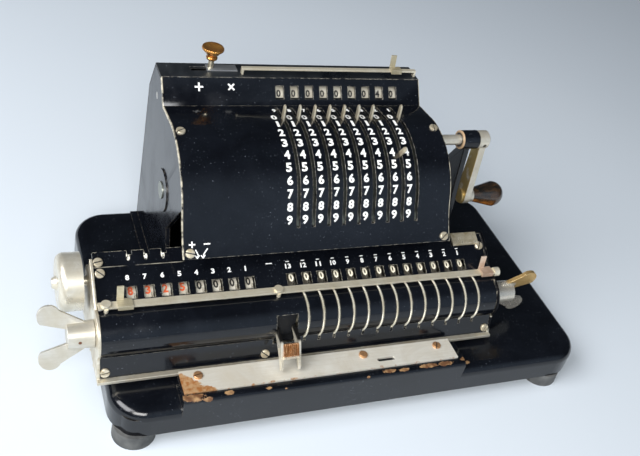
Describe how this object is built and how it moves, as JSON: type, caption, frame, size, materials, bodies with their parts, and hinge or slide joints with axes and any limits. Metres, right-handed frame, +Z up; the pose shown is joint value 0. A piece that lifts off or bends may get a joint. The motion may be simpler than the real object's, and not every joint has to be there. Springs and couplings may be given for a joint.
{
  "type": "pinwheel calculator",
  "caption": "Desk calculator with setting levers in a curved cover, a sliding carriage of number wheels, clearing wing nuts and a hand crank.",
  "frame": {"origin": "on the table, under the middle of the machine's length and depth", "axes": "+X along the carriage to the right, +Y towards the back, +Z up"},
  "size_m": [0.3334, 0.171, 0.1588],
  "materials": {
    "black_japan": "gloss black enamel",
    "nickel": "worn nickel plate",
    "steel": "bright steel, lightly oiled",
    "brass": "worn lacquered brass",
    "rubber": "matt grey-black rubber",
    "horn": "polished brown horn",
    "copper_wear": "nickel worn through to copper"
  },
  "bodies": {
    "frame": {"base_casting": "black_japan", "rubber_feet": "rubber", "track_strip": "nickel", "side_plate_left": "black_japan", "side_plate_right": "black_japan", "front_cover": "black_japan", "rear_cover": "black_japan", "cross_shafts": "steel", "top_rail": "nickel", "crank_bracket": "black_japan", "frame_screws": "nickel"},
    "lever_1": {"setting_lever_1": "steel"},
    "dial_1": {"check_dial_1": "steel"},
    "lever_2": {"setting_lever_2": "steel"},
    "dial_2": {"check_dial_2": "steel"},
    "lever_3": {"setting_lever_3": "steel"},
    "dial_3": {"check_dial_3": "steel"},
    "lever_4": {"setting_lever_4": "steel"},
    "dial_4": {"check_dial_4": "steel"},
    "lever_5": {"setting_lever_5": "steel"},
    "dial_5": {"check_dial_5": "steel"},
    "lever_6": {"setting_lever_6": "steel"},
    "dial_6": {"check_dial_6": "steel"},
    "lever_7": {"setting_lever_7": "steel"},
    "dial_7": {"check_dial_7": "steel"},
    "lever_8": {"setting_lever_8": "steel"},
    "dial_8": {"check_dial_8": "steel"},
    "lever_9": {"setting_lever_9": "steel"},
    "dial_9": {"check_dial_9": "steel"},
    "crank": {"crank_shaft": "nickel", "crank_arm": "nickel"},
    "grip": {"crank_handle": "horn"},
    "rotor": {"rotor_axle": "steel", "pinwheel_rotor": "steel"},
    "transfer": {"transfer_gears": "steel"},
    "mode": {"mode_knob": "brass", "mode_slide": "nickel"},
    "top_rider": {"top_marker": "nickel"},
    "carriage": {"carriage_frame": "nickel", "carriage_housing": "black_japan", "carriage_screws": "nickel", "decimal_rail": "nickel", "wheel_axles": "nickel", "bell": "nickel", "detent_bracket": "nickel"},
    "left_rider": {"decimal_marker_left": "nickel"},
    "right_rider": {"decimal_marker_right": "copper_wear"},
    "left_wing": {"wing_nut_left": "nickel"},
    "right_wing": {"wing_nut_right": "nickel"},
    "setting_discs": {"result_setting_wheels": "steel"},
    "result_drums": {"result_wheels": "steel"},
    "counter_1": {"counter_wheel_1": "steel"},
    "counter_2": {"counter_wheel_2": "steel"},
    "counter_3": {"counter_wheel_3": "steel"},
    "counter_4": {"counter_wheel_4": "steel"},
    "counter_5": {"counter_wheel_5": "steel"},
    "counter_6": {"counter_wheel_6": "steel"},
    "counter_7": {"counter_wheel_7": "steel"},
    "counter_8": {"counter_wheel_8": "steel"},
    "key": {"shift_key": "nickel"}
  },
  "joints": [
    {"name": "lever_1_turn", "type": "hinge", "parent": "frame", "child": "lever_1", "pos_m": [0, 0.0245, 0.0887], "axis": [1, 0, 0], "range_deg": [0, 83.7]},
    {"name": "dial_1_turn", "type": "hinge", "parent": "frame", "child": "dial_1", "pos_m": [0, 0.0596, 0.1296], "axis": [1, 0, 0], "range_deg": [-324.5, 0.5]},
    {"name": "lever_2_turn", "type": "hinge", "parent": "frame", "child": "lever_2", "pos_m": [0, 0.0245, 0.0887], "axis": [1, 0, 0], "range_deg": [-37.2, 46.5]},
    {"name": "dial_2_turn", "type": "hinge", "parent": "frame", "child": "dial_2", "pos_m": [0, 0.0596, 0.1296], "axis": [1, 0, 0], "range_deg": [-180.5, 144.5]},
    {"name": "lever_3_turn", "type": "hinge", "parent": "frame", "child": "lever_3", "pos_m": [0, 0.0245, 0.0887], "axis": [1, 0, 0], "range_deg": [0, 83.7]},
    {"name": "dial_3_turn", "type": "hinge", "parent": "frame", "child": "dial_3", "pos_m": [0, 0.0596, 0.1296], "axis": [1, 0, 0], "range_deg": [-324.5, 0.5]},
    {"name": "lever_4_turn", "type": "hinge", "parent": "frame", "child": "lever_4", "pos_m": [0, 0.0245, 0.0887], "axis": [1, 0, 0], "range_deg": [0, 83.7]},
    {"name": "dial_4_turn", "type": "hinge", "parent": "frame", "child": "dial_4", "pos_m": [0, 0.0596, 0.1296], "axis": [1, 0, 0], "range_deg": [-324.5, 0.5]},
    {"name": "lever_5_turn", "type": "hinge", "parent": "frame", "child": "lever_5", "pos_m": [0, 0.0245, 0.0887], "axis": [1, 0, 0], "range_deg": [0, 83.7]},
    {"name": "dial_5_turn", "type": "hinge", "parent": "frame", "child": "dial_5", "pos_m": [0, 0.0596, 0.1296], "axis": [1, 0, 0], "range_deg": [-324.5, 0.5]},
    {"name": "lever_6_turn", "type": "hinge", "parent": "frame", "child": "lever_6", "pos_m": [0, 0.0245, 0.0887], "axis": [1, 0, 0], "range_deg": [0, 83.7]},
    {"name": "dial_6_turn", "type": "hinge", "parent": "frame", "child": "dial_6", "pos_m": [0, 0.0596, 0.1296], "axis": [1, 0, 0], "range_deg": [-324.5, 0.5]},
    {"name": "lever_7_turn", "type": "hinge", "parent": "frame", "child": "lever_7", "pos_m": [0, 0.0245, 0.0887], "axis": [1, 0, 0], "range_deg": [0, 83.7]},
    {"name": "dial_7_turn", "type": "hinge", "parent": "frame", "child": "dial_7", "pos_m": [0, 0.0596, 0.1296], "axis": [1, 0, 0], "range_deg": [-324.5, 0.5]},
    {"name": "lever_8_turn", "type": "hinge", "parent": "frame", "child": "lever_8", "pos_m": [0, 0.0245, 0.0887], "axis": [1, 0, 0], "range_deg": [0, 83.7]},
    {"name": "dial_8_turn", "type": "hinge", "parent": "frame", "child": "dial_8", "pos_m": [0, 0.0596, 0.1296], "axis": [1, 0, 0], "range_deg": [-324.5, 0.5]},
    {"name": "lever_9_turn", "type": "hinge", "parent": "frame", "child": "lever_9", "pos_m": [0, 0.0245, 0.0887], "axis": [1, 0, 0], "range_deg": [0, 83.7]},
    {"name": "dial_9_turn", "type": "hinge", "parent": "frame", "child": "dial_9", "pos_m": [0, 0.0596, 0.1296], "axis": [1, 0, 0], "range_deg": [-324.5, 0.5]},
    {"name": "crank_turn", "type": "hinge", "parent": "frame", "child": "crank", "pos_m": [0, 0.0381, 0.11], "axis": [1, 0, 0], "continuous": true},
    {"name": "rotor_turn", "type": "hinge", "parent": "frame", "child": "rotor", "pos_m": [0, 0.0245, 0.0887], "axis": [1, 0, 0], "continuous": true},
    {"name": "grip_spin", "type": "hinge", "parent": "crank", "child": "grip", "pos_m": [0, 0.03434, 0.06616], "axis": [1, 0, 0], "continuous": true},
    {"name": "transfer_turn", "type": "hinge", "parent": "frame", "child": "transfer", "pos_m": [0, -0.0112, 0.0557], "axis": [1, 0, 0], "continuous": true},
    {"name": "mode_slide_travel", "type": "slide", "parent": "frame", "child": "mode", "axis": [1, 0, 0], "range_m": [-0.0093, 0.0093]},
    {"name": "top_marker_travel", "type": "slide", "parent": "frame", "child": "top_rider", "axis": [1, 0, 0], "range_m": [-0.0943, 0.0083]},
    {"name": "carriage_travel", "type": "slide", "parent": "frame", "child": "carriage", "axis": [1, 0, 0], "range_m": [-0.0279, 0.0372]},
    {"name": "left_marker_travel", "type": "slide", "parent": "carriage", "child": "left_rider", "axis": [1, 0, 0], "range_m": [-0.0026, 0.0773]},
    {"name": "right_marker_travel", "type": "slide", "parent": "carriage", "child": "right_rider", "axis": [1, 0, 0], "range_m": [-0.1288, 0.0001]},
    {"name": "left_wing_turn", "type": "hinge", "parent": "carriage", "child": "left_wing", "pos_m": [0, -0.045, 0.0505], "axis": [1, 0, 0], "continuous": true},
    {"name": "right_wing_turn", "type": "hinge", "parent": "carriage", "child": "right_wing", "pos_m": [0, -0.045, 0.0505], "axis": [1, 0, 0], "continuous": true},
    {"name": "setting_discs_turn", "type": "hinge", "parent": "carriage", "child": "setting_discs", "pos_m": [0, -0.045, 0.0505], "axis": [1, 0, 0], "continuous": true},
    {"name": "result_drums_turn", "type": "hinge", "parent": "carriage", "child": "result_drums", "pos_m": [0, -0.0286, 0.0563], "axis": [1, 0, 0], "continuous": true},
    {"name": "counter_1_turn", "type": "hinge", "parent": "carriage", "child": "counter_1", "pos_m": [0, -0.0286, 0.0563], "axis": [1, 0, 0], "continuous": true},
    {"name": "counter_2_turn", "type": "hinge", "parent": "carriage", "child": "counter_2", "pos_m": [0, -0.0286, 0.0563], "axis": [1, 0, 0], "continuous": true},
    {"name": "counter_3_turn", "type": "hinge", "parent": "carriage", "child": "counter_3", "pos_m": [0, -0.0286, 0.0563], "axis": [1, 0, 0], "continuous": true},
    {"name": "counter_4_turn", "type": "hinge", "parent": "carriage", "child": "counter_4", "pos_m": [0, -0.0286, 0.0563], "axis": [1, 0, 0], "continuous": true},
    {"name": "counter_5_turn", "type": "hinge", "parent": "carriage", "child": "counter_5", "pos_m": [0, -0.0286, 0.0563], "axis": [1, 0, 0], "continuous": true},
    {"name": "counter_6_turn", "type": "hinge", "parent": "carriage", "child": "counter_6", "pos_m": [0, -0.0286, 0.0563], "axis": [1, 0, 0], "continuous": true},
    {"name": "counter_7_turn", "type": "hinge", "parent": "carriage", "child": "counter_7", "pos_m": [0, -0.0286, 0.0563], "axis": [1, 0, 0], "continuous": true},
    {"name": "counter_8_turn", "type": "hinge", "parent": "carriage", "child": "counter_8", "pos_m": [0, -0.0286, 0.0563], "axis": [1, 0, 0], "continuous": true},
    {"name": "shift_key_press", "type": "hinge", "parent": "carriage", "child": "key", "pos_m": [0, -0.058, 0.05], "axis": [1, 0, 0], "range_deg": [0, 5], "stiffness_Nm_per_rad": 0.4, "springref_deg": -1.15}
  ],
  "couplings": [
    {"joint": "dial_1_turn", "follows": "lever_1_turn", "ratio": -3.871},
    {"joint": "dial_2_turn", "follows": "lever_2_turn", "ratio": -3.871},
    {"joint": "dial_3_turn", "follows": "lever_3_turn", "ratio": -3.871},
    {"joint": "dial_4_turn", "follows": "lever_4_turn", "ratio": -3.871},
    {"joint": "dial_5_turn", "follows": "lever_5_turn", "ratio": -3.871},
    {"joint": "dial_6_turn", "follows": "lever_6_turn", "ratio": -3.871},
    {"joint": "dial_7_turn", "follows": "lever_7_turn", "ratio": -3.871},
    {"joint": "dial_8_turn", "follows": "lever_8_turn", "ratio": -3.871},
    {"joint": "dial_9_turn", "follows": "lever_9_turn", "ratio": -3.871},
    {"joint": "rotor_turn", "follows": "crank_turn", "ratio": -1},
    {"joint": "setting_discs_turn", "follows": "right_wing_turn", "ratio": 1},
    {"joint": "result_drums_turn", "follows": "right_wing_turn", "ratio": -0.5}
  ]
}
